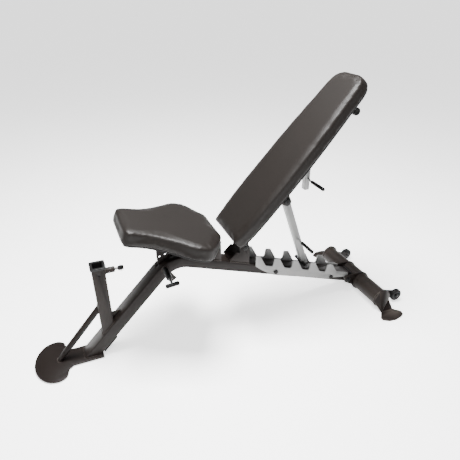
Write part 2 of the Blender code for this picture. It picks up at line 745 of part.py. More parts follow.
def box_bar(u0, u1, half_y, n0, n1, inset=0.0):
    section = rounded(half_y - inset, (n1 - n0) / 2 - inset, max(0.004 - inset, 0.001), 2)
    middle = (n0 + n1) / 2
    return [[back_point(u, y, middle + n) for y, n in section] for u in (u0, u1)]


smooth(place("back_rail", hollow(box_bar(rail_from, rail_to, RAIL_W / 2, rail_low, rail_top),
                                 box_bar(rail_from, rail_to, RAIL_W / 2, rail_low, rail_top, 0.002)),
             POWDER, back_home, back_axis))

hinge_half = CHEEK_GAP - 0.0008
knuckle_t = 0.0038
stop_x = BACK_PIVOT[0] - 0.032
stop_side = [(stop_x - 0.028, 0.0), (stop_x, BACK_PIVOT[1] - 0.012), (stop_x + 0.010, BACK_PIVOT[1] - 0.016)]
channel("back_hinge_bracket", stop_side + rounded_side(BACK_PIVOT, 0.020, 0.018, 0.014, 0.013),
        BACK_PIVOT)
bolt_y("back_hinge_bolt", *BACK_PIVOT, CHEEK_GAP + CHEEK_T + GAP, BOLT_R, 0.010, look=BLACK)

lug_profile = [(-0.012, -0.004), (-0.006, -0.012), (0.006, -0.012), (0.014, -0.004),
               (0.110, rail_low + 0.001), (0.110, rail_top), (rail_from - 0.012, rail_top),
               (-0.012, 0.012)]


def back_plate(profile, half):
    return skin([[back_point(u, y, n) for u, n in profile] for y in (-half, half)])


fork = place("back_hinge_fork", back_plate(lug_profile, hinge_half), POWDER, back_home, back_axis)
fork_inside = [(-0.05, -0.05), (0.20, -0.05), (0.20, 0.20), (rail_from - 0.003, 0.20),
               (rail_from - 0.003, 0.030), (rail_from - 0.014, 0.030), (rail_from - 0.014, 0.20),
               (-0.05, 0.20)]
cut(fork, back_plate(fork_inside, hinge_half - knuckle_t), "inside")
cut(fork, across_hole(*BACK_PIVOT, BOLT_R + GAP), "bolt_hole")

# ---- long strut ------------------------------------------------------------------------------
strut_at = back_point(STRUT_U, 0, STRUT_N)
strut_home = tuple(strut_at)
strut_axis = empty("strut_axis", strut_home, BENCH)
rod_at = Vector((ROD_X, 0, run_z(ROD_X) + ROD_RISE))
to_rod = rod_at - strut_at
strut_tilt = math.atan2(to_rod.x, -to_rod.z) + math.asin(ROD_ASIDE / to_rod.length)
strut_dir = Vector((math.sin(strut_tilt), 0, -math.cos(strut_tilt)))
strut_side = Vector((math.cos(strut_tilt), 0, math.sin(strut_tilt)))
strut_lug_in = STRUT_W / 2 + 0.0006
fork_web = 0.003


def fork_on_rail(name, u, profile, pivot):
    """A U-shaped bracket under the backrest rail that holds a strut's bolt."""
    made = place(name, back_plate([(u + a, n) for a, n in profile], strut_lug_in + 0.004), POWDER,
                 back_home, back_axis)
    low = rail_low - GAP - fork_web
    cut(made, back_plate([(u - 0.1, low), (u - 0.1, -0.2), (u + 0.1, -0.2), (u + 0.1, low)],
                         strut_lug_in), "inside")
    cut(made, across_hole(pivot.x, pivot.z, BOLT_R + GAP), "bolt_hole")


fork_on_rail("strut_bracket", STRUT_U,
             [(-0.040, rail_low - GAP), (0.040, rail_low - GAP), (0.015, STRUT_N - 0.006),
              (0.006, STRUT_N - 0.013), (-0.006, STRUT_N - 0.013), (-0.015, STRUT_N - 0.006)],
             strut_at)
bolt_y("strut_bolt", strut_at.x, strut_at.z, strut_lug_in + 0.004 + GAP, BOLT_R, 0.015,
       back_axis, back_home, BLACK)

strut_len = (rod_at - strut_at).dot(strut_dir) + ROD_R + 0.0015


def strut_loops(inset):
    section = rounded(STRUT_W / 2 - inset, STRUT_D / 2 - inset, max(0.004 - inset, 0.0015), 2)
    return [section_at(strut_at + strut_dir * s, strut_dir, section) for s in (-0.016, strut_len)]


strut = smooth(place("strut", hollow(strut_loops(0), strut_loops(STRUT_WALL)), SILVER,
                     strut_home, strut_axis))
cut(strut, round_bar(strut_at - Vector((0, 0.03, 0)), strut_at + Vector((0, 0.03, 0)), BOLT_R + GAP),
    "bolt_hole")
cut(strut, round_bar(rod_at - Vector((0, 0.03, 0)), rod_at + Vector((0, 0.03, 0)), ROD_R + GAP),
    "rod_hole")
rod_half = LADDER_IN - 0.0006
smooth(place("ladder_rod", round_bar(rod_at - Vector((0, rod_half, 0)), rod_at + Vector((0, rod_half, 0)),
                                     ROD_R), BLACK, strut_home, strut_axis))

GRIP_R = 0.0065
GRIP_LEN = 0.078


def handle_on(prefix, root, sweep, home, axis):
    """A bent rod from a strut's near face, ending in a straight grip that points outward."""
    rod_r = 0.0035
    bend = root + sweep
    points = [root + Vector((0, STRUT_WALL / 2, 0)), root - Vector((0, 0.006, 0)),
              bend - Vector((0, 0.010, 0)), bend - Vector((0, 0.022, 0))]
    loops = []
    for i, point in enumerate(points):
        before = points[max(i - 1, 0)]
        after = points[min(i + 1, len(points) - 1)]
        along = (Vector(after) - Vector(before)).normalized()
        up = Vector((0, 0, 1)) if abs(along.z) < 0.9 else Vector((1, 0, 0))
        across = (up - along * up.dot(along)).normalized()
        other = along.cross(across)
        loops.append([point + across * a + other * b for a, b in circle(rod_r, 12)])
    fuse(bpy.data.objects[prefix], skin(loops), "handle_rod")
    start = points[-1] - Vector((0, GAP, 0))
    profile = [(0, GRIP_R - 0.001), (0.002, GRIP_R), (GRIP_LEN - 0.003, GRIP_R), (GRIP_LEN, GRIP_R - 0.002)]
    smooth(place(f"{prefix}_grip", turned(start, start - Vector((0, 1, 0)), profile, 20), RUBBER,
                 home, axis))


strut_root = strut_at + strut_dir * 0.186 - Vector((0, STRUT_W / 2, 0))
handle_on("strut", strut_root, strut_dir * 0.010 + strut_side * 0.004, strut_home, strut_axis)

# ---- short prop ------------------------------------------------------------------------------
prop_at = back_point(PROP_U, 0, PROP_N)
prop_home = tuple(prop_at)
prop_axis = empty("prop_axis", prop_home, BENCH)
prop_down = Vector((0, 0, -1))
fork_on_rail("prop_bracket", PROP_U,
             [(-0.026, rail_low - GAP), (0.026, rail_low - GAP), (0.012, PROP_N - 0.012),
              (-0.012, PROP_N - 0.012)], prop_at)
bolt_y("prop_bolt", prop_at.x, prop_at.z, strut_lug_in + 0.004 + GAP, BOLT_R, 0.009, back_axis, back_home)


def prop_loops(inset):
    section = rounded(STRUT_W / 2 - inset, PROP_D / 2 - inset, max(0.004 - inset, 0.0015), 2)
    return [section_at(prop_at + prop_down * s, prop_down, section) for s in (-0.011, PROP_LEN)]


prop = smooth(place("short_prop", hollow(prop_loops(0), prop_loops(STRUT_WALL)), SILVER,
                    prop_home, prop_axis))
cut(prop, round_bar(prop_at - Vector((0, 0.03, 0)), prop_at + Vector((0, 0.03, 0)), BOLT_R + GAP),
    "bolt_hole")
prop_root = prop_at + prop_down * (PROP_LEN - 0.045) - Vector((0, STRUT_W / 2, 0))
handle_on("short_prop", prop_root, Vector((0.004, 0, -0.006)), prop_home, prop_axis)

# ---- bumper at the head of the backrest ------------------------------------------------------
bumper_at = back_point(BUMPER_U, 0, BUMPER_N)
smooth(place("back_bumper", turned(bumper_at - Vector((0, BUMPER_HALF, 0)), bumper_at,
                                   [(0, BUMPER_R - 0.003), (0.003, BUMPER_R),
                                    (2 * BUMPER_HALF - 0.003, BUMPER_R),
                                    (2 * BUMPER_HALF, BUMPER_R - 0.003)]), RUBBER, back_home, back_axis))
saddle = BUMPER_N + BUMPER_R + GAP
place("bumper_bracket", back_plate([(BUMPER_U - 0.015, saddle), (BUMPER_U + 0.015, saddle),
                                    (BUMPER_U + 0.015, rail_low - GAP),
                                    (BUMPER_U - 0.015, rail_low - GAP)], 0.020), POWDER,
      back_home, back_axis)

# ---- notched ladder --------------------------------------------------------------------------
def ladder_outline():
    """Five teeth that step down the falling run, each with a steep front and a sloped rear."""
    step = Vector((TOOTH_STEP, -TOOTH_STEP * math.tan(FALL_ANGLE) - 0.0004))
    first = Vector((TOOTH_X, run_z(TOOTH_X) + TOOTH_RISE))
    points = [(first.x, first.y - 0.047), (first.x, first.y)]
    for i in range(4):
        tooth = first + step * i
        points += [(tooth.x + 0.018, tooth.y - 0.005), (tooth.x + 0.042, tooth.y - 0.052)]
        points += [(tooth.x + 0.047, tooth.y - 0.056), (tooth.x + 0.070, tooth.y - 0.064),
                   (tooth.x + 0.076, tooth.y - 0.060), (tooth.x + step.x - 0.004, tooth.y + step.y - 0.002),
                   (tooth.x + step.x, tooth.y + step.y)]
    last = first + step * 4
    points += [(last.x + 0.022, last.y - 0.006), (last.x + 0.046, last.y - 0.049),
               (last.x + 0.096, last.y - 0.066), (last.x + 0.110, last.y - 0.074),
               (last.x + 0.108, last.y - 0.083), (last.x + 0.096, last.y - 0.087),
               (last.x + 0.036, last.y - 0.076), (last.x + 0.015, last.y - 0.077),
               (first.x + 0.092, run_z(0.930) - 0.0165), (first.x + 0.074, run_z(0.912) - 0.0149),
               (first.x + 0.028, run_z(0.866) + 0.0007)]
    return points


for side, where in SIDES:
    y0, y1 = sorted((side * LADDER_IN, side * (LADDER_IN + LADDER_T)))
    ladder = place(f"ladder_plate_{where}", plate_xz(ladder_outline(), y0, y1), SILVER)
    for i, x in enumerate(LADDER_BOLTS):
        cut(ladder, across_hole(x, run_z(x), BOLT_R + GAP), f"bolt_hole_{i + 1}")


def bush(name, x, half):
    """A steel bush through the main tube that holds two plates off its sides."""
    smooth(place(name, ring((x, -half, run_z(x)), (x, half, run_z(x)), BUSH_R, BOLT_R + GAP, 20), STEEL))
    cut(main_tube, across_hole(x, run_z(x), BUSH_R + GAP, 20), name)


for i, x in enumerate(LADDER_BOLTS):
    bush(f"ladder_bush_{i + 1}", x, LADDER_IN - GAP)
    bolt_y(f"ladder_bolt_{i + 1}", x, run_z(x), LADDER_IN + LADDER_T + GAP, BOLT_R, 0.009, look=BLACK)

# ---- rear end --------------------------------------------------------------------------------
cap_t = 0.010


def cap_loops():
    snug = TUBE_WALL + GAP
    plug = rounded(TUBE_W / 2 - snug, TUBE_H / 2 - snug, TUBE_R - snug)
    lip = rounded(TUBE_W / 2 + 0.0015, TUBE_H / 2 + 0.0015, 0.005)
    end = Vector((TUBE_END_X, 0, run_z(TUBE_END_X)))
    stations = ((-0.020, plug), (GAP, plug), (GAP, lip), (cap_t, lip))
    return [section_at(end + RUN_DIR * s, RUN_DIR, section) for s, section in stations]


end_cap = place("main_tube_end_cap", skin(cap_loops()), BLACK)

lug_x0 = TUBE_END_X - 0.030
lug_bolt_x = lug_x0 + 0.014
seat_r = CROSS_R + SLEEVE_T + 2 * GAP


def lug_outline():
    """A plate from the tube's rear end down to the cross tube, with a rounded foot."""
    top = run_z(lug_x0) + 0.014
    return [(lug_x0, top - 0.030), (lug_x0, top), (CROSS_X - 0.020, CROSS_Z + LUG_R + 0.002),
            *arc((CROSS_X, CROSS_Z), LUG_R, 90, -165, 16)]


for side, where in SIDES:
    y0, y1 = sorted((side * LUG_IN, side * (LUG_IN + LUG_T)))
    lug = place(f"rear_lug_{where}", plate_xz(lug_outline(), y0, y1), POWDER)
    cut(lug, round_bar((CROSS_X, y0 - 0.01, CROSS_Z), (CROSS_X, y1 + 0.01, CROSS_Z), seat_r, 36), "tube_hole")
    cut(lug, across_hole(lug_bolt_x, run_z(lug_bolt_x), BOLT_R + GAP), "bolt_hole")
bush("rear_bush", lug_bolt_x, LUG_IN - GAP)
cut(end_cap, across_hole(lug_bolt_x, run_z(lug_bolt_x), BUSH_R + GAP, 20), "bush_hole")
bolt_y("rear_bolt", lug_bolt_x, run_z(lug_bolt_x), LUG_IN + LUG_T + GAP, BOLT_R, 0.010, look=BLACK)

smooth(place("cross_tube", ring((CROSS_X, -CROSS_HALF, CROSS_Z), (CROSS_X, CROSS_HALF, CROSS_Z), CROSS_R,
                                CROSS_R - CROSS_WALL, 36), POWDER))
smooth(place("cross_tube_sleeve", ring((CROSS_X, -SLEEVE_HALF, CROSS_Z), (CROSS_X, SLEEVE_HALF, CROSS_Z),
                                       CROSS_R + GAP + SLEEVE_T, CROSS_R + GAP, 36), POWDER))

disc_y = CROSS_HALF + GAP
fold_y = 0.226
for side, where in SIDES:
    wall = arc((CROSS_X + 0.003, CROSS_Z + 0.002), DISC_R, 200, -20, 14)
    foot = [(CROSS_X + 0.039, PLATE_T * 0.5), (CROSS_X - 0.019, PLATE_T * 0.5)]

    def lean_y(z):
        return disc_y + max(CROSS_Z - 0.020 - z, 0) * (fold_y - disc_y) / (CROSS_Z - 0.020)

    outline = wall + foot
    inner = [(x, side * lean_y(z), z) for x, z in outline]
    outer = [(x, side * (lean_y(z) + 0.005), z) for x, z in outline]
    disc = place(f"rear_foot_{where}", skin([inner, outer]), POWDER)
    leaf = [(-0.019, fold_y - 0.001), (-0.041, 0.250), (-0.043, 0.265), (-0.020, 0.280),
            (0.008, LEAF_HALF), (0.040, 0.276), (0.058, 0.267), (0.062, 0.251), (0.049, 0.236),
            (0.039, fold_y - 0.001)]
    fuse(disc, plate_xy([(CROSS_X + x, side * y) for x, y in leaf], 0, PLATE_T), "leaf")

# ---- transport wheels ------------------------------------------------------------------------
arm_t = 0.004
for side, where in SIDES:
    inner_y = side * (WHEEL_Y - WHEEL_W / 2 - 0.002)
    y0, y1 = sorted((inner_y, inner_y - side * arm_t))
    reach_x = CROSS_X + CROSS_R + GAP
    arm = [(CROSS_X + 0.010, CROSS_Z + 0.0290), (reach_x + 0.010, CROSS_Z + 0.014),
           (WHEEL_X + 0.008, WHEEL_Z + 0.010), (WHEEL_X + 0.011, WHEEL_Z), (WHEEL_X + 0.006, WHEEL_Z - 0.010),
           (WHEEL_X - 0.006, WHEEL_Z - 0.011), (CROSS_X + 0.014, CROSS_Z - 0.029)]
    bracket = place(f"wheel_bracket_{where}", plate_xz(arm, y0, y1), POWDER)
    cut(bracket, round_bar((CROSS_X, y0 - 0.01, CROSS_Z), (CROSS_X, y1 + 0.01, CROSS_Z), CROSS_R + GAP, 36),
        "tube_seat")
    cut(bracket, round_bar((WHEEL_X, y0 - 0.01, WHEEL_Z), (WHEEL_X, y1 + 0.01, WHEEL_Z), 0.004 + GAP, 16),
        "axle_hole")
    start = Vector((WHEEL_X, inner_y - side * (arm_t + 0.004), WHEEL_Z))
    end = start + Vector((0, side, 0))
    span = arm_t + 0.004 + 0.002 + WHEEL_W
    smooth(place(f"wheel_axle_{where}", turned(start, end, [
        (0, 0.006), (0.0037, 0.006), (0.0037, 0.004), (span + 0.001, 0.004), (span + 0.001, 0.006),
        (span + 0.005, 0.006)], 16), BLACK))
    hub = empty(f"wheel_axis_{where}", (WHEEL_X, side * WHEEL_Y, WHEEL_Z), BENCH)
    rim = [(0, WHEEL_R - 0.003), (0.003, WHEEL_R), (WHEEL_W - 0.003, WHEEL_R), (WHEEL_W, WHEEL_R - 0.003)]
    smooth(place(f"wheel_{where}", turned_ring((WHEEL_X, side * WHEEL_Y - WHEEL_W / 2, WHEEL_Z),
                                               (WHEEL_X, side * WHEEL_Y + WHEEL_W / 2, WHEEL_Z), rim,
                                               [(0, 0.0045), (WHEEL_W, 0.0045)], 32), RUBBER,
                 (WHEEL_X, side * WHEEL_Y, WHEEL_Z), hub))
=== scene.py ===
# %% [markdown]
# An adjustable weight bench, dressed for a picture. The metalwork already exists as a fixed
# frame of plain solids. This file gives each of those solids the finish of the real piece,
# makes the pads as stuffed, wrapped cushions, and adds the welds, grip rings and staples, with
# dark hexagons on the bolt heads as painted shade for their sockets.

# %% Load the frame
import json
import math

import bmesh
import bpy
import numpy as np
from mathutils import Matrix, Vector


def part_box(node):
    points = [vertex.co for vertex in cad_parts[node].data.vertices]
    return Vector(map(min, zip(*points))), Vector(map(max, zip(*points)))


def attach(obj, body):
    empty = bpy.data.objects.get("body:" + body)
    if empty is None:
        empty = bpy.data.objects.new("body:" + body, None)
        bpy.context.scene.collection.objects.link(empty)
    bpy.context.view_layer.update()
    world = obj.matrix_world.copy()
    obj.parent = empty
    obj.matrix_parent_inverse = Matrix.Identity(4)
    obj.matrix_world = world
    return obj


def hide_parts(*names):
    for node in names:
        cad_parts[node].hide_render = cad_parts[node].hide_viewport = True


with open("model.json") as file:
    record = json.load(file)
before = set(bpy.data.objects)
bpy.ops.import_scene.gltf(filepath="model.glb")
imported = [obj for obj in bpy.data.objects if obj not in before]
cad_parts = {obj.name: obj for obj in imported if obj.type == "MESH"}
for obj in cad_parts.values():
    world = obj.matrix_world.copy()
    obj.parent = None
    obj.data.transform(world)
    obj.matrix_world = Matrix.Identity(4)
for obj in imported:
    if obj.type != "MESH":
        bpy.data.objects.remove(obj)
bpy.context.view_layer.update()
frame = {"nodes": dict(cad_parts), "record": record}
NODES = frame["nodes"]
BODIES = frame["record"]["behaviour"]["bodies"]
BODY_OF = {node: body for body, nodes in BODIES.items() for node in nodes}
SLOT_OF = {row["node"]: row["material_slot"] for row in frame["record"]["subparts"]}

# %% [markdown]
# The camera looks down at the bench from its front left, as a catalogue view does. A bench is
# long, so a fairly wide lens close by gives the strong taper that such a view has.

# %% Camera
camera_data = bpy.data.cameras.new("view")
camera_data.lens = 33.70
camera_data.sensor_width = 36.0
camera = bpy.data.objects.new("view", camera_data)
bpy.context.collection.objects.link(camera)
camera.location = (-0.5139, -1.2775, 1.1706)
camera.rotation_euler = (math.radians(60.99), 0, math.radians(-22.45))
bpy.context.scene.camera = camera

# %% [markdown]
# Dark satin steel only shows its shape through what it reflects. Large soft lamps give long,
# calm reflections: a strong one overhead, two weak ones at the front and behind, and a narrow
# strip high on the camera's side. The floor is nearly white and glows, to come near the blank
# white ground of a catalogue picture.

# %% Light and floor
SKY = 0.46
FLOOR_HALF = 220.0


def lamp(name, at, aim, size, power, shape=1.0):
    """A soft rectangular lamp that points at a place."""
    data = bpy.data.lights.new(name, "AREA")
    data.shape = "RECTANGLE"
    data.size = size
    data.size_y = size * shape
    data.energy = power
    made = bpy.data.objects.new(name, data)
    bpy.context.collection.objects.link(made)
    made.location = at
    made.rotation_euler = (Vector(aim) - Vector(at)).to_track_quat("-Z", "Y").to_euler()
    return made


lamp("overhead", (-0.1, 0.05, 2.4), (0, 0, 0.3), 0.8, 270)
lamp("front_left", (-2.4, -1.6, 1.3), (0, 0, 0.4), 1.4, 8)
lamp("behind", (0.3, 2.6, 2.4), (0, 0, 0.4), 1.6, 8, 0.5)
lamp("camera_side_strip", (-1.1, -1.9, 2.5), (0, 0, 0.4), 1.2, 50, 0.05)

world = bpy.data.worlds.new("studio")
world.use_nodes = True
air = world.node_tree.nodes["Background"]
air.inputs["Color"].default_value = (1, 1, 1, 1)
air.inputs["Strength"].default_value = SKY
bpy.context.scene.world = world

floor_mesh = bpy.data.meshes.new("floor")
floor_mesh.from_pydata([(-FLOOR_HALF, -FLOOR_HALF, 0), (FLOOR_HALF, -FLOOR_HALF, 0),
                        (FLOOR_HALF, FLOOR_HALF, 0), (-FLOOR_HALF, FLOOR_HALF, 0)],
                       [], [(0, 1, 2, 3)])
floor = bpy.data.objects.new("floor", floor_mesh)
bpy.context.collection.objects.link(floor)


# %% [markdown]
# Every finish is a small node tree on object coordinates, so it sticks to the piece when the
# piece moves. Two things repeat: a colour that drifts slightly from place to place, and a fine
# bump. The drift is what stops a large dark surface from looking like flat card.

# %% Finish helper
WORN_FROM, WORN_TO = 0.53, 0.62   # how sharp an edge is where its wear begins and is full
ROUGHNESS_DRIFT = 0.06
SKIN_DEPTH = 0.0004


def finish(name, dark, light, roughness, metallic, grain, bump, drift=9.0, wear=None, shine=0.5):
    """A Principled material with drifting colour and a fine grain; wear brightens its edges."""
    made = bpy.data.materials.new(name)
    made.use_nodes = True
    nodes, links = made.node_tree.nodes, made.node_tree.links
    shader = nodes["Principled BSDF"]
    shader.inputs["Metallic"].default_value = metallic
    shader.inputs["Specular IOR Level"].default_value = shine
    place = nodes.new("ShaderNodeTexCoord")
    cloud = nodes.new("ShaderNodeTexNoise")
    cloud.inputs["Scale"].default_value = drift
    cloud.inputs["Detail"].default_value = 4
    ramp = nodes.new("ShaderNodeMix")
    ramp.data_type = "RGBA"
    ramp.inputs["A"].default_value = (*dark, 1)
    ramp.inputs["B"].default_value = (*light, 1)
    links.new(place.outputs["Object"], cloud.inputs["Vector"])
    links.new(cloud.outputs["Fac"], ramp.inputs["Factor"])
    colour = ramp.outputs["Result"]
    if wear:
        edge = nodes.new("ShaderNodeNewGeometry")
        worn = nodes.new("ShaderNodeMapRange")
        worn.inputs["From Min"].default_value = WORN_FROM
        worn.inputs["From Max"].default_value = WORN_TO
        over = nodes.new("ShaderNodeMix")
        over.data_type = "RGBA"
        over.inputs["B"].default_value = (*wear, 1)
        links.new(edge.outputs["Pointiness"], worn.inputs["Value"])
        links.new(worn.outputs["Result"], over.inputs["Factor"])
        links.new(colour, over.inputs["A"])
        colour = over.outputs["Result"]
    links.new(colour, shader.inputs["Base Color"])
    fine = nodes.new("ShaderNodeTexNoise")
    fine.inputs["Scale"].default_value = grain
    fine.inputs["Detail"].default_value = 2
    links.new(place.outputs["Object"], fine.inputs["Vector"])
    rough = nodes.new("ShaderNodeMapRange")
    rough.inputs["To Min"].default_value = roughness - ROUGHNESS_DRIFT
    rough.inputs["To Max"].default_value = roughness + ROUGHNESS_DRIFT
    links.new(fine.outputs["Fac"], rough.inputs["Value"])
    links.new(rough.outputs["Result"], shader.inputs["Roughness"])
    relief = nodes.new("ShaderNodeBump")
    relief.inputs["Strength"].default_value = bump
    relief.inputs["Distance"].default_value = SKIN_DEPTH
    links.new(fine.outputs["Fac"], relief.inputs["Height"])
    links.new(relief.outputs["Normal"], shader.inputs["Normal"])
    return made


# %% [markdown]
# The pads are covered in synthetic leather. Its grain is a net of small round cells with thin
# valleys between them, which a Voronoi pattern gives, laid over a broader, softer noise that
# stands for the way the cover stretches over foam.

# %% Leather
CELLS = 620          # grain cells to the metre
CELL_DEPTH = 0.0003


def leather(name, dark, light, roughness):
    """A finish with a net of grain cells over it, and little shine."""
    made = finish(name, dark, light, roughness, 0.0, 700, 0.10, drift=5)
    nodes, links = made.node_tree.nodes, made.node_tree.links
    shader = nodes["Principled BSDF"]
    shader.inputs["Specular IOR Level"].default_value = 0.15
    place = nodes["Texture Coordinate"]
    cells = nodes.new("ShaderNodeTexVoronoi")
    cells.inputs["Scale"].default_value = CELLS
    cells.inputs["Randomness"].default_value = 0.9
    links.new(place.outputs["Object"], cells.inputs["Vector"])
    grain = nodes.new("ShaderNodeBump")
    grain.inputs["Strength"].default_value = 0.16
    grain.inputs["Distance"].default_value = CELL_DEPTH
    links.new(cells.outputs["Distance"], grain.inputs["Height"])
    links.new(nodes["Bump"].outputs["Normal"], grain.inputs["Normal"])
    links.new(grain.outputs["Normal"], shader.inputs["Normal"])
    return made


# %% [markdown]
# The frame is a very dark warm grey powder coat with a fine orange-peel skin. The ladder and
# the struts have a silver coat. Most bolts are black, as the plastic parts are, and the pins,
# springs, spacers and staples are zinc plated. All of these colours are several times darker
# than those of the frame's own materials: they are set for one picture under strong lamps.

# %% Finishes
FLOOR_GLOW = 1.5
FINISH = {
    "powder": finish("charcoal_powder_coat", (0.0042, 0.0028, 0.0023), (0.0066, 0.0045, 0.0039),
                     0.43, 0.0, 900, 0.30, wear=(0.030, 0.025, 0.022), shine=0.11),
    "silver": finish("silver_powder_coat", (0.13, 0.13, 0.128), (0.17, 0.17, 0.167),
                     0.40, 0.30, 1100, 0.20, wear=(0.30, 0.30, 0.295), shine=0.35),
    "steel": finish("zinc_plated_steel", (0.22, 0.22, 0.215), (0.32, 0.32, 0.315),
                    0.30, 1.0, 1500, 0.12),
    "black_plastic": finish("moulded_black_plastic", (0.0022, 0.0021, 0.0021),
                            (0.0035, 0.0034, 0.0034), 0.38, 0.0, 1300, 0.18,
                            wear=(0.012, 0.012, 0.012), shine=0.16),
    "rubber": finish("moulded_rubber", (0.0025, 0.0025, 0.0025), (0.0045, 0.0043, 0.0043),
                     0.62, 0.0, 800, 0.35, shine=0.12),
    "vinyl": leather("charcoal_synthetic_leather", (0.0050, 0.0039, 0.0033),
                     (0.0073, 0.0058, 0.0050), 0.46),
    "board": finish("black_pad_backing", (0.0045, 0.0042, 0.0042), (0.008, 0.0074, 0.007),
                    0.75, 0.0, 500, 0.5, shine=0.2),
}
white_floor = finish("studio_floor", (0.88, 0.88, 0.88), (0.92, 0.92, 0.92), 0.70, 0.0, 30, 0.0)
white_shader = white_floor.node_tree.nodes["Principled BSDF"]
white_shader.inputs["Emission Color"].default_value = (1, 1, 1, 1)
white_shader.inputs["Emission Strength"].default_value = FLOOR_GLOW
floor_mesh.materials.append(white_floor)
print("finishes:", ", ".join(FINISH))


# %% [markdown]
# A finished piece is a plain mesh at the origin. These helpers make one from a mesh, and one
# from whatever modifiers an object carries.

# %% Piece helpers
def add_piece(name, mesh, look, body=None, replaces=(), smooth_angle=38):
    """Links a mesh as a piece of the bench, shades it and says what it rides on."""
    made = bpy.data.objects.new(name, mesh)
    bpy.context.collection.objects.link(made)
    mesh.materials.clear()
    mesh.materials.append(FINISH[look])
    mesh.shade_smooth()
    if smooth_angle:
        mesh.set_sharp_from_angle(angle=math.radians(smooth_angle))
    if body:
        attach(made, body)
    if replaces:
        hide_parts(*replaces)
    return made


def baked(obj):
    """The mesh that an object's modifiers make, with the object itself removed."""
    graph = bpy.context.evaluated_depsgraph_get()
    graph.update()
    mesh = bpy.data.meshes.new_from_object(obj.evaluated_get(graph), depsgraph=graph)
    mesh.transform(obj.matrix_world)
    bpy.data.objects.remove(obj)
    return mesh


def mesh_of(bm, name="shape"):
    mesh = bpy.data.meshes.new(name)
    bm.to_mesh(mesh)
    bm.free()
    return mesh


def merged(node):
    """A CAD node's mesh in world place, with its loose triangles joined into whole faces."""
    bm = bmesh.new()
    bm.from_mesh(NODES[node].data)
    bm.transform(NODES[node].matrix_world)
    bmesh.ops.remove_doubles(bm, verts=bm.verts, dist=2e-6)
    bmesh.ops.dissolve_limit(bm, angle_limit=math.radians(0.6), verts=bm.verts, edges=bm.edges)
    return bm


# %% [markdown]
# Sheet metal and moulded plastic never have knife edges. A narrow bevel on each corner catches
# a thin line of light, which is most of what makes a dark part read as real. The CAD solids
# stay untouched: each piece here is a copy with its edges rolled over. The springs keep their
# own coils, and the pieces that are made anew further down are left out.

# %% Rolled edges on the metalwork
EDGE = {"powder": 0.0009, "silver": 0.0007, "steel": 0.0005, "black_plastic": 0.0008,
        "rubber": 0.0010, "board": 0.0008}
SPRINGS = ("receiver_pin_spring", "seat_lock_spring")
MADE_ANEW = {"seat_pad", "back_pad", "cross_tube", "cross_tube_sleeve", "wheel_near", "wheel_far",
             "strut_grip", "short_prop_grip", "ladder_rod", "back_bumper"}
LEFT_ALONE = MADE_ANEW.union(SPRINGS)


def rolled(node):
    """A copy of a CAD solid with a small rounded bevel on its sharp edges."""
    work = bpy.data.objects.new("work", mesh_of(merged(node)))
    bpy.context.collection.objects.link(work)
    bevel = work.modifiers.new("edge", "BEVEL")
    bevel.width = EDGE[SLOT_OF[node]]
    bevel.segments = 2
    bevel.limit_method = "ANGLE"
    bevel.angle_limit = math.radians(35)
    return add_piece(f"{node}_finished", baked(work), SLOT_OF[node], BODY_OF[node], (node,))


# The small gusset behind the receiver post comes out black from its slot: painted shade, a dark piece
# where the leg's top lies in shade behind the post.
for node in sorted(set(NODES) - LEFT_ALONE):
    rolled(node)
for node in SPRINGS:
    NODES[node].material_slots[0].material = FINISH["steel"]
print("rolled edges on", len(set(NODES) - LEFT_ALONE), "pieces")


# %% [markdown]
# Round pieces that turn or shine need more sides than a CAD solid has. They are turned here
# about the line through the middle of the solid they stand for, from a profile of distances
# along that line and radii.

# %% Turned pieces
TUBE_WALL = 0.002
TUBE_CHAMFER = 0.0006
SLEEVE_GAP = 0.0003
SLEEVE_CHAMFER = 0.0009


def on_circle(centre, across, other, radius, turn):
    """The point at an angle on a circle that two directions span."""
    return centre + (across * math.cos(turn) + other * math.sin(turn)) * radius


def turned_mesh(start, along, profile, sides=96, close=False):
    """A mesh turned about a line; the profile is (distance along, radius) pairs."""
    along = Vector(along).normalized()
    across = along.orthogonal().normalized()
    other = along.cross(across)
    bm = bmesh.new()
    rings = []
    for distance, radius in profile:
        centre = Vector(start) + along * distance
        turns = [2 * math.pi * i / sides for i in range(sides)]
        rings.append([bm.verts.new(on_circle(centre, across, other, radius, turn)) for turn in turns])
    pairs = list(zip(rings, rings[1:])) + ([(rings[-1], rings[0])] if close else [])
    for low, high in pairs:
        for i in range(sides):
            j = (i + 1) % sides
            bm.faces.new((low[i], low[j], high[j], high[i]))
    if not close:
        bm.faces.new(rings[0])
        bm.faces.new(rings[-1])
    bmesh.ops.recalc_face_normals(bm, faces=bm.faces)
    return mesh_of(bm)


def node_middle(node):
    """A CAD node's lowest and highest corners, and the middle between them."""
    low, high = (Vector(corner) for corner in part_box(node))
    return low, high, (low + high) / 2


def ring_profile(length, outer, inner, chamfer):
    """The closed profile of a tube with its outer corners chamfered."""
    return [(0, inner), (0, outer - chamfer), (chamfer, outer), (length - chamfer, outer),
            (length, outer - chamfer), (length, inner)]


low, high, middle = node_middle("cross_tube")
cross_r = (high.z - low.z) / 2
start = Vector((middle.x, low.y, middle.z))
profile = ring_profile(high.y - low.y, cross_r, cross_r - TUBE_WALL, TUBE_CHAMFER)
add_piece("cross_tube_round", turned_mesh(start, (0, 1, 0), profile, close=True),
          "powder", "frame", ("cross_tube",))
low, high, middle = node_middle("cross_tube_sleeve")
sleeve_r = (high.z - low.z) / 2
start = Vector((middle.x, low.y, middle.z))
profile = ring_profile(high.y - low.y, sleeve_r, cross_r + SLEEVE_GAP, SLEEVE_CHAMFER)
add_piece("cross_tube_sleeve_round", turned_mesh(start, (0, 1, 0), profile, close=True),
          "powder", "frame", ("cross_tube_sleeve",))

# %% [markdown]
# The rubber roller at the head of the backrest, the ladder rod and the two grips are simple
# turned shapes. The rod reaches through both ladder plates, where the CAD rod stops short.

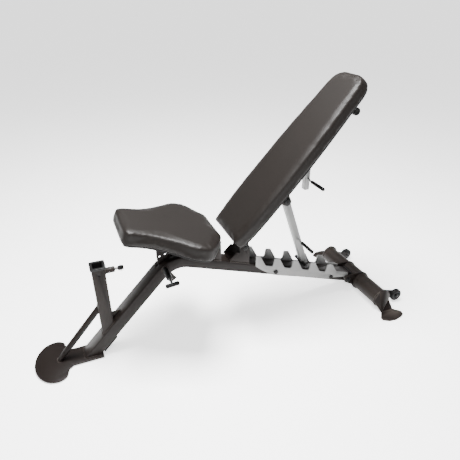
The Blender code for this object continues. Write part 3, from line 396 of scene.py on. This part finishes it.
# %% Roller, rod and grips
low, high, middle = node_middle("back_bumper")
roller_r = (high.z - low.z) / 2
roller_len = high.y - low.y
half_roller = [(0.0015, 0.004), (0, 0.007), (0, roller_r - 0.004), (0.0012, roller_r - 0.0012),
               (0.004, roller_r)]
roller = half_roller + [(roller_len - along, radius) for along, radius in reversed(half_roller)]
add_piece("back_bumper_roller", turned_mesh((middle.x, low.y, middle.z), (0, 1, 0), roller, 64),
          "rubber", "backrest", ("back_bumper",))

low, high, middle = node_middle("ladder_rod")
rod_r = (high.z - low.z) / 2
ROD_PAST = 0.0085       # how far the rod passes the CAD rod's ends
ROD_CHAMFER = 0.002
rod_len = high.y - low.y + 2 * ROD_PAST
rod = [(0, rod_r - ROD_CHAMFER), (ROD_CHAMFER, rod_r), (rod_len - ROD_CHAMFER, rod_r),
       (rod_len, rod_r - ROD_CHAMFER)]
add_piece("ladder_rod_full",
          turned_mesh((middle.x, low.y - ROD_PAST, middle.z), (0, 1, 0), rod, 48),
          "black_plastic", "strut", ("ladder_rod",))


RING_COUNT = 14
RING_DIP = 0.0005
PLAIN_END = 0.014


def grip(node, name, body):
    """A rubber grip with a collar, finger rings and a domed end."""
    low, high, middle = node_middle(node)
    length = high.y - low.y
    radius = (high.z - low.z) / 2
    rings = []
    ring_from, ring_to = PLAIN_END, length - PLAIN_END
    for i in range(RING_COUNT * 4 + 1):
        at = ring_from + (ring_to - ring_from) * i / (RING_COUNT * 4)
        dip = RING_DIP * (1 - math.cos(2 * math.pi * i / 4)) / 2
        rings.append((at, radius - dip))
    dome = [(length - 0.004 + 0.004 * math.sin(t), radius * (0.25 + 0.75 * math.cos(t)))
            for t in np.linspace(0.2, math.pi / 2, 6)]
    collar = [(0, 0.0045), (0, radius - 0.0012), (0.001, radius), (0.005, radius),
              (0.006, radius - 0.0008), (0.011, radius - 0.0008)]
    profile = collar + rings + dome
    mesh = turned_mesh((middle.x, high.y, middle.z), (0, -1, 0), profile, 40)
    add_piece(name, mesh, "rubber", body, (node,), 50)


grip("strut_grip", "strut_grip_ribbed", "strut")
grip("short_prop_grip", "short_prop_grip_ribbed", "prop")


# %% [markdown]
# The transport wheels are solid rubber tyres on a plastic hub with spokes. The hub is a dish:
# a boss, a thin web and a rim, all turned in one profile, with the spokes added on both faces.

# %% Transport wheels
SPOKES = 6
TYRE_SHARE = 0.66       # the tyre's inner radius against its outer one
BORE_R = 0.0046
BOSS_R = 0.0080
RIM_T = 0.0022
RIM_IN = 0.0006         # how far the rim stays inside the tyre's sides
WEB_HALF = 0.0016


def spoke_block(centre, turn, inner, outer, half_y):
    """A tapered rib that runs out from the hub on both faces of the web."""
    bm = bmesh.new()
    bmesh.ops.create_cube(bm, size=1.0)
    for vert in bm.verts:
        far = vert.co.x > 0
        vert.co = Vector((outer if far else inner, vert.co.y * 2 * half_y,
                          vert.co.z * (0.0022 if far else 0.0034)))
    bmesh.ops.bevel(bm, geom=list(bm.edges), offset=0.0005, segments=1, affect="EDGES")
    bm.transform(Matrix.Translation(centre) @ Matrix.Rotation(turn, 4, "Y"))
    return mesh_of(bm)


def joined(meshes):
    """Several meshes as one."""
    bm = bmesh.new()
    for mesh in meshes:
        bm.from_mesh(mesh)
    return mesh_of(bm)


for side in ("near", "far"):
    low, high, middle = node_middle(f"wheel_{side}")
    radius = (high.z - low.z) / 2
    width = high.y - low.y
    tyre_in = radius * TYRE_SHARE
    tread = [(0.0, radius - 0.0032), (0.0008, radius - 0.0014), (0.0026, radius - 0.0003)]
    crown = [(width * t, radius - 0.0010 * (2 * t - 1) ** 2) for t in np.linspace(0.2, 0.8, 7)]
    mirror = [(width - d, r) for d, r in reversed(tread)]
    tyre = turned_mesh((middle.x, low.y, middle.z), (0, 1, 0),
                       [(0, tyre_in)] + tread + crown + mirror + [(width, tyre_in)], 72, close=True)
    add_piece(f"wheel_{side}_tyre", tyre, "rubber", f"{side}_wheel", (f"wheel_{side}",), 45)
    half = width / 2
    rim_r = tyre_in - 0.0002
    rim_in = rim_r - RIM_T
    hub_profile = [(0, BORE_R), (0, BOSS_R), (half - WEB_HALF, BOSS_R), (half - WEB_HALF, rim_in),
                   (RIM_IN, rim_in), (RIM_IN, rim_r), (width - RIM_IN, rim_r),
                   (width - RIM_IN, rim_in), (half + WEB_HALF, rim_in),
                   (half + WEB_HALF, BOSS_R), (width, BOSS_R), (width, BORE_R)]
    parts = [turned_mesh((middle.x, low.y, middle.z), (0, 1, 0), hub_profile, 48, close=True)]
    parts += [spoke_block(middle, 2 * math.pi * i / SPOKES, 0.0078, rim_r - 0.002, half - 0.0022)
              for i in range(SPOKES)]
    add_piece(f"wheel_{side}_hub", joined(parts), "black_plastic", f"{side}_wheel", (), 35)
print("wheels: tyre and spoked hub on each side")


# %% [markdown]
# Welds, knurls and staples all repeat one small shape along a path. One Geometry
# Nodes tree does that: it walks a curve at a fixed spacing, stands the small shape on each
# point facing along the curve, makes real geometry of it and gives it its finish.

# %% A repeat-along-a-path tree
def repeat_tree(look):
    """A tree that repeats a shape along a curve and gives it one finish."""
    tree = bpy.data.node_groups.new(f"repeat_{look}", "GeometryNodeTree")
    face = tree.interface
    face.new_socket("Geometry", in_out="INPUT", socket_type="NodeSocketGeometry")
    face.new_socket("Spacing", in_out="INPUT", socket_type="NodeSocketFloat")
    face.new_socket("Size", in_out="INPUT", socket_type="NodeSocketFloat")
    face.new_socket("Shape", in_out="INPUT", socket_type="NodeSocketObject")
    face.new_socket("Geometry", in_out="OUTPUT", socket_type="NodeSocketGeometry")
    nodes, links = tree.nodes, tree.links
    group_in = nodes.new("NodeGroupInput")
    group_out = nodes.new("NodeGroupOutput")
    walk = nodes.new("GeometryNodeCurveToPoints")
    walk.mode = "LENGTH"
    shape = nodes.new("GeometryNodeObjectInfo")
    stand = nodes.new("GeometryNodeInstanceOnPoints")
    real = nodes.new("GeometryNodeRealizeInstances")
    paint = nodes.new("GeometryNodeSetMaterial")
    paint.inputs["Material"].default_value = FINISH[look]
    links.new(group_in.outputs["Geometry"], walk.inputs["Curve"])
    links.new(group_in.outputs["Spacing"], walk.inputs["Length"])
    links.new(group_in.outputs["Shape"], shape.inputs["Object"])
    links.new(walk.outputs["Points"], stand.inputs["Points"])
    links.new(walk.outputs["Rotation"], stand.inputs["Rotation"])
    links.new(shape.outputs["Geometry"], stand.inputs["Instance"])
    links.new(group_in.outputs["Size"], stand.inputs["Scale"])
    links.new(stand.outputs["Instances"], real.inputs["Geometry"])
    links.new(real.outputs["Geometry"], paint.inputs["Geometry"])
    links.new(paint.outputs["Geometry"], group_out.inputs["Geometry"])
    return tree


TREES = {look: repeat_tree(look) for look in ("powder", "steel", "black_plastic")}


def repeated(paths, unit, spacing, look, size=1.0):
    """One mesh of a unit shape repeated along each path of points."""
    curve = bpy.data.curves.new("path", "CURVE")
    curve.dimensions = "3D"
    for points in paths:
        line = curve.splines.new("POLY")
        line.points.add(len(points) - 1)
        for slot, point in zip(line.points, points):
            slot.co = (*point, 1)
    work = bpy.data.objects.new("path", curve)
    bpy.context.collection.objects.link(work)
    shape = bpy.data.objects.new("unit", unit)
    bpy.context.collection.objects.link(shape)
    modifier = work.modifiers.new("repeat", "NODES")
    modifier.node_group = TREES[look]
    sockets = {item.name: item.identifier for item in TREES[look].interface.items_tree
               if item.in_out == "INPUT"}
    modifier[sockets["Spacing"]] = spacing
    modifier[sockets["Size"]] = size
    modifier[sockets["Shape"]] = shape
    mesh = baked(work)
    bpy.data.objects.remove(shape)
    return mesh


# %% [markdown]
# A hand weld is a row of overlapping ripples, like coins pushed over. The unit is a low lens,
# and the spacing is a little over half its length, so each ripple half buries the one before.

# %% Weld beads
WELD_STEP = 0.0018
LEG_OUTSIDE = 0.0265    # the leg's corner points further out than this are on its outside


def lens(width, length, height):
    """A flattened ball, long across the path."""
    bm = bmesh.new()
    bmesh.ops.create_uvsphere(bm, u_segments=8, v_segments=6, radius=0.5)
    bmesh.ops.scale(bm, vec=(width, height, length), verts=bm.verts)
    return mesh_of(bm)


BEAD = lens(0.0048, 0.0034, 0.0048)


def closed_path(corners):
    """A closed run round some corners."""
    return [tuple(corner) for corner in corners] + [tuple(corners[0])]


def circle_path(centre, axis, radius, sides=28):
    """A closed run of points round an axis."""
    across = Vector(axis).orthogonal().normalized()
    other = Vector(axis).normalized().cross(across)
    return [tuple(on_circle(Vector(centre), across, other, radius, 2 * math.pi * i / sides))
            for i in range(sides + 1)]


def outline_of(node, pick):
    """A node's corner points that a test picks."""
    return [v.co.copy() for v in merged(node).verts if pick(v.co)]


def loop_round(points, normal):
    """Points sorted round their middle, as seen along a direction."""
    centre = sum(points, Vector()) / len(points)
    across = Vector(normal).orthogonal().normalized()
    other = Vector(normal).normalized().cross(across)
    return sorted(points, key=lambda p: math.atan2((p - centre).dot(other),
                                                   (p - centre).dot(across)))


post_low, post_high, _ = node_middle("receiver_post")
foot_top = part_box("front_foot_plate")[1][2]
weld_paths = []

post_foot = [p for p in outline_of("receiver_post", lambda c: c.z < post_low.z + 0.06)
             if abs(abs(p.y) - abs(post_high.y)) < 0.003 or abs(p.x - post_low.x) < 0.002
             or abs(p.x - post_high.x) < 0.002]
weld_paths.append(closed_path(loop_round(post_foot, (0, 0, 1))))
leg_foot = outline_of("main_tube", lambda c: c.z < foot_top + 0.002)
leg_centre = sum(leg_foot, Vector()) / len(leg_foot)
outer_foot = [p for p in leg_foot if Vector((p.x - leg_centre.x, p.y, 0)).length > LEG_OUTSIDE]
weld_paths.append(closed_path(loop_round(outer_foot, (0, 0, 1))))


def outer_ring(node, pick, normal):
    """The outer corner points of a tube's end, in order, as a closed run."""
    points = loop_round(outline_of(node, pick), normal)
    centre = sum(points, Vector()) / len(points)
    kept = []
    for point in points:
        if kept and (point - centre).angle(kept[-1] - centre) < math.radians(6):
            if (point - centre).length > (kept[-1] - centre).length:
                kept[-1] = point
        else:
            kept.append(point)
    return closed_path(kept)


brace_low, brace_high, _ = node_middle("post_brace")
weld_paths.append(outer_ring("post_brace", lambda c: c.x > brace_high.x - 0.0012, (1, 0, 0)))
weld_paths.append(outer_ring("post_brace", lambda c: c.z < brace_low.z + 0.0012, (0, 0, 1)))
cross_low, cross_high, cross_mid = node_middle("cross_tube")
for side in (-1, 1):
    weld_paths.append(circle_path((cross_mid.x, side * (cross_high.y - 0.0008), cross_mid.z),
                                  (0, 1, 0), (cross_high.z - cross_low.z) / 2 + 0.0006))
pin_low, pin_high, pin_mid = node_middle("receiver_pin_barrel")
weld_paths.append(circle_path((pin_low.x + 0.0004, 0, pin_mid.z), (1, 0, 0), pin_high.y + 0.0004))
lock_low, lock_high, lock_mid = node_middle("seat_lock_barrel")
weld_paths.append(circle_path((lock_mid.x, lock_high.y - 0.0004, lock_mid.z), (0, 1, 0),
                              (lock_high.x - lock_low.x) / 2 + 0.0004))
for bracket in ("seat_hinge_bracket", "back_hinge_bracket"):
    high = node_middle(bracket)[1]
    for side in (-1, 1):
        foot = outline_of(bracket, lambda c: side * c.y > high.y - 0.0006)
        front = min(foot, key=lambda c: (round(c.x, 4), c.z))
        rear = min(foot, key=lambda c: (-round(c.x, 4), c.z))
        weld_paths.append([tuple(front), tuple(rear)])
weld_mesh = repeated(weld_paths, BEAD, WELD_STEP, "powder")
add_piece("frame_weld_beads", weld_mesh, "powder", "frame", (), 60)
print("weld beads:", len(weld_mesh.polygons), "faces")


# %% [markdown]
# Under each pad the cover is stapled to the board all the way round. The staples are the same
# repeat tree again, walked round the board's own outline, drawn in a little.

# %% Staples under the boards
STAPLE_STEP = 0.019
STAPLES_IN = 0.010


def staple():
    """A flat wire bridge that lies across its path."""
    bm = bmesh.new()
    bmesh.ops.create_cube(bm, size=1)
    bmesh.ops.scale(bm, vec=(0.0100, 0.0012, 0.0012), verts=bm.verts)
    return mesh_of(bm)


def under_outline(node, drawn_in):
    """The outline of a board's lower face, drawn in towards its middle."""
    bm = merged(node)
    face = min((f for f in bm.faces if f.normal.z < -0.3), key=lambda f: -f.calc_area())
    centre = face.calc_center_median()
    found = []
    for vert in face.verts:
        offset = vert.co - centre
        found.append(tuple(centre + offset * (1 - drawn_in / offset.length) + face.normal * 0.0002))
    bm.free()
    return found + [found[0]]


STAPLE = staple()
for node, body in (("seat_board", "seat"), ("back_board", "backrest")):
    stapled = repeated([under_outline(node, STAPLES_IN)], STAPLE, STAPLE_STEP, "steel")
    add_piece(f"{node}_staples", stapled, "steel", body, (), 30)
    print(node, "staples:", len(stapled.polygons) // 6)


# %% [markdown]
# The bolts have hexagon sockets. Their hollows are not cut: a shallow hexagon in the dark
# rubber finish stands on each head as the painted shade of its socket. The pull-pin
# on the post has a knurled knob: thin ridges that walk round a circle.

# %% Painted socket shade and knurls
SOCKET_T = 0.0010
RIDGE = (0.0012, 0.0090, 0.0012)
RIDGE_STEP = 0.0026


def hexagon(across, depth):
    """A six-sided plug that narrows slightly."""
    bm = bmesh.new()
    bmesh.ops.create_cone(bm, cap_ends=True, segments=6, radius1=across, radius2=across * 0.92,
                          depth=depth)
    return mesh_of(bm)


def socket_shade_on(node, body, across):
    """A dark hexagon at both ends of a bolt that lies across the bench, painted shade for its socket.
    """
    low, high, mid = node_middle(node)
    made = bmesh.new()
    for side, y in ((-1, low.y), (1, high.y)):
        shape = hexagon(across, SOCKET_T)
        shape.transform(Matrix.Translation((mid.x, y, mid.z))
                        @ Matrix.Rotation(-side * math.pi / 2, 4, "X"))
        made.from_mesh(shape)
    # The dark rubber finish on these hexagons is painted shade: it stands for the hollow of the
    # socket.
    add_piece(f"{node}_sockets", mesh_of(made), "rubber", body, (), 30)


for bolt, across in (("seat_hinge_bolt", 0.0036), ("back_hinge_bolt", 0.0040),
                     ("ladder_bolt_1", 0.0036), ("ladder_bolt_2", 0.0036), ("rear_bolt", 0.0040)):
    socket_shade_on(bolt, "frame", across)
for bolt, across in (("strut_bolt", 0.0050), ("prop_bolt", 0.0036)):
    socket_shade_on(bolt, "backrest", across)

_, knob_high, knob_mid = node_middle("receiver_pin_knob")
ridge = bmesh.new()
bmesh.ops.create_cube(ridge, size=1)
bmesh.ops.scale(ridge, vec=RIDGE, verts=ridge.verts)
ridges = repeated([circle_path(knob_mid, (1, 0, 0), knob_high.y - 0.0001, 48)], mesh_of(ridge),
                  RIDGE_STEP, "black_plastic")
add_piece("receiver_pin_knob_knurl", ridges, "black_plastic", "receiver_lock", (), 30)
print("knurl ridges:", len(ridges.polygons) // 6)


# %% [markdown]
# A pad is foam on a board, wrapped in leather that is pulled round the edges and stapled
# below. So its top is slightly crowned, its upper edge is a soft roll, and its side walls are
# almost flat. A cloth simulation does this well: a slightly small body is filled with air
# while its underside is held to the board, and no point may move further than a cap.

# %% Pad helpers
VOXEL = 0.0052
PRESSURE = 4.0
FRAMES = 20
SMALLER = 0.0002        # how much smaller the body starts at each side
ROLL = 0.007            # width of the soft roll along the upper edge
CAP = 0.0036            # the furthest that the filling moves a point
SOFTEN_ROUNDS = 3
UNDERSIDE = 0.004       # points lower than this are part of the flat underside
BOARD_GAP = 0.0004
HELD = 0.007            # points lower than this are held to the board
SHARP = 1.0             # radians; an edge that turns more than this is the rim


def pad_axes(node):
    """The direction a pad faces and its underside's distance, from its largest faces."""
    bm = merged(node)
    face = max(bm.faces, key=lambda f: f.calc_area())
    up = face.normal.copy()
    if up.z < 0:
        up = -up
    heights = [v.co.dot(up) for v in bm.verts]
    bm.free()
    return up, min(heights), max(heights)


def softened(bm, rounds, hold):
    """Evens out a dense mesh, leaving the points of a flat underside in their plane."""
    for _ in range(rounds):
        bmesh.ops.smooth_vert(bm, verts=bm.verts, factor=0.5, use_axis_x=True, use_axis_y=True,
                              use_axis_z=True)
        hold(bm)


def wrapped_pad(node, name, body):
    """A stuffed, leather-wrapped pad in the place of a plain CAD pad."""
    up, low, high = pad_axes(node)
    bm = merged(node)
    along = Vector((up.z, 0, -up.x))
    span = [v.co.dot(along) for v in bm.verts]
    middle_along = (min(span) + max(span)) / 2
    scale_along = 1 - 2 * SMALLER / (max(span) - min(span))
    half_y = max(abs(v.co.y) for v in bm.verts)
    for vert in bm.verts:
        offset = vert.co.dot(along) - middle_along
        vert.co += along * offset * (scale_along - 1)
        vert.co.y *= 1 - SMALLER / half_y
    rim = [e for e in bm.edges if all(v.co.dot(up) > (low + high) / 2 for v in e.verts)
           and e.calc_face_angle(0) > SHARP]
    bmesh.ops.bevel(bm, geom=rim, offset=ROLL, segments=5, affect="EDGES", profile=0.5)
    bm.normal_update()
    work = bpy.data.objects.new(name, mesh_of(bm, name))
    bpy.context.collection.objects.link(work)
    remesh = work.modifiers.new("dense", "REMESH")
    remesh.mode = "VOXEL"
    remesh.voxel_size = VOXEL
    mesh = baked(work)

    def keep_flat(target):
        for vert in target.verts:
            under = vert.co.dot(up) - low
            if under < UNDERSIDE:
                vert.co -= up * (under - BOARD_GAP)

    bm = bmesh.new()
    bm.from_mesh(mesh)
    softened(bm, SOFTEN_ROUNDS, keep_flat)
    mesh = mesh_of(bm, name)
    start = np.array([v.co[:] for v in mesh.vertices])
    work = bpy.data.objects.new(name, mesh)
    bpy.context.collection.objects.link(work)
    held = work.vertex_groups.new(name="held")
    held.add([v.index for v in mesh.vertices if v.co.dot(up) - low < HELD], 1.0, "REPLACE")
    cloth = work.modifiers.new("fill", "CLOTH")
    cloth.settings.use_pressure = True
    cloth.settings.uniform_pressure_force = PRESSURE
    cloth.settings.vertex_group_mass = "held"
    cloth.settings.effector_weights.gravity = 0
    cloth.settings.quality = 5
    cloth.point_cache.frame_start = 1
    cloth.point_cache.frame_end = FRAMES
    for step in range(1, FRAMES + 1):
        bpy.context.scene.frame_set(step)
    filled = baked(work)
    bpy.context.scene.frame_set(1)
    points = np.array([v.co[:] for v in filled.vertices])
    move = points - start
    length = np.linalg.norm(move, axis=1, keepdims=True)
    points = start + move * np.minimum(1, CAP / np.maximum(length, 1e-9))
    filled.vertices.foreach_set("co", points.astype(np.float32).ravel())
    bm = bmesh.new()
    bm.from_mesh(filled)
    softened(bm, SOFTEN_ROUNDS, keep_flat)
    filled = mesh_of(bm, name)
    return finish_pad(filled, node, name, body, up, low, high, along, middle_along)


# %% [markdown]
# Where the cover turns a tight corner, the spare leather below gathers into short upright
# tucks. They are deepest at the board and fade out before the soft upper roll.

# %% Tucks and finishing
TUCK = 0.0007
TUCK_PITCH = 0.0105
TUCK_TOP = 0.78         # the tucks end at this share of the pad's thickness
WALL_FACING = 0.5       # points that face up or down more than this are not on the side wall


def finish_pad(mesh, node, name, body, up, low, high, along, middle_along):
    thick = high - low
    for vert in mesh.vertices:
        height = (vert.co.dot(up) - low) / thick
        a = vert.co.dot(along) - middle_along
        y = vert.co.y
        radial = Vector((0, y, 0)) + along * a
        if radial.length < 1e-6 or height > TUCK_TOP:
            continue
        if abs(vert.normal.dot(up)) > WALL_FACING:
            continue
        corner = min(1.0, 2.2 * abs(vert.normal.dot(along)) * abs(vert.normal.y) + 0.10)
        turn = math.atan2(y, a) * radial.length / TUCK_PITCH
        wave = math.sin(2 * math.pi * turn) + 0.5 * math.sin(3.7 * math.pi * turn + 1.0)
        vert.co -= vert.normal * TUCK * corner * (1 - height / TUCK_TOP) * (0.5 + 0.5 * wave)
    work = bpy.data.objects.new(name, mesh)
    bpy.context.collection.objects.link(work)
    finer = work.modifiers.new("finer", "SUBSURF")
    finer.levels = 1
    finer.render_levels = 1
    made = add_piece(name, baked(work), "vinyl", body, (node,), None)
    print(name, len(made.data.polygons), "faces")
    return made


# %% [markdown]
# Both pads are made the same way: the seat flares at its wings, and the backrest is long.

# %% Seat and backrest pads
wrapped_pad("seat_pad", "seat_cushion", "seat")
wrapped_pad("back_pad", "backrest_cushion", "backrest")
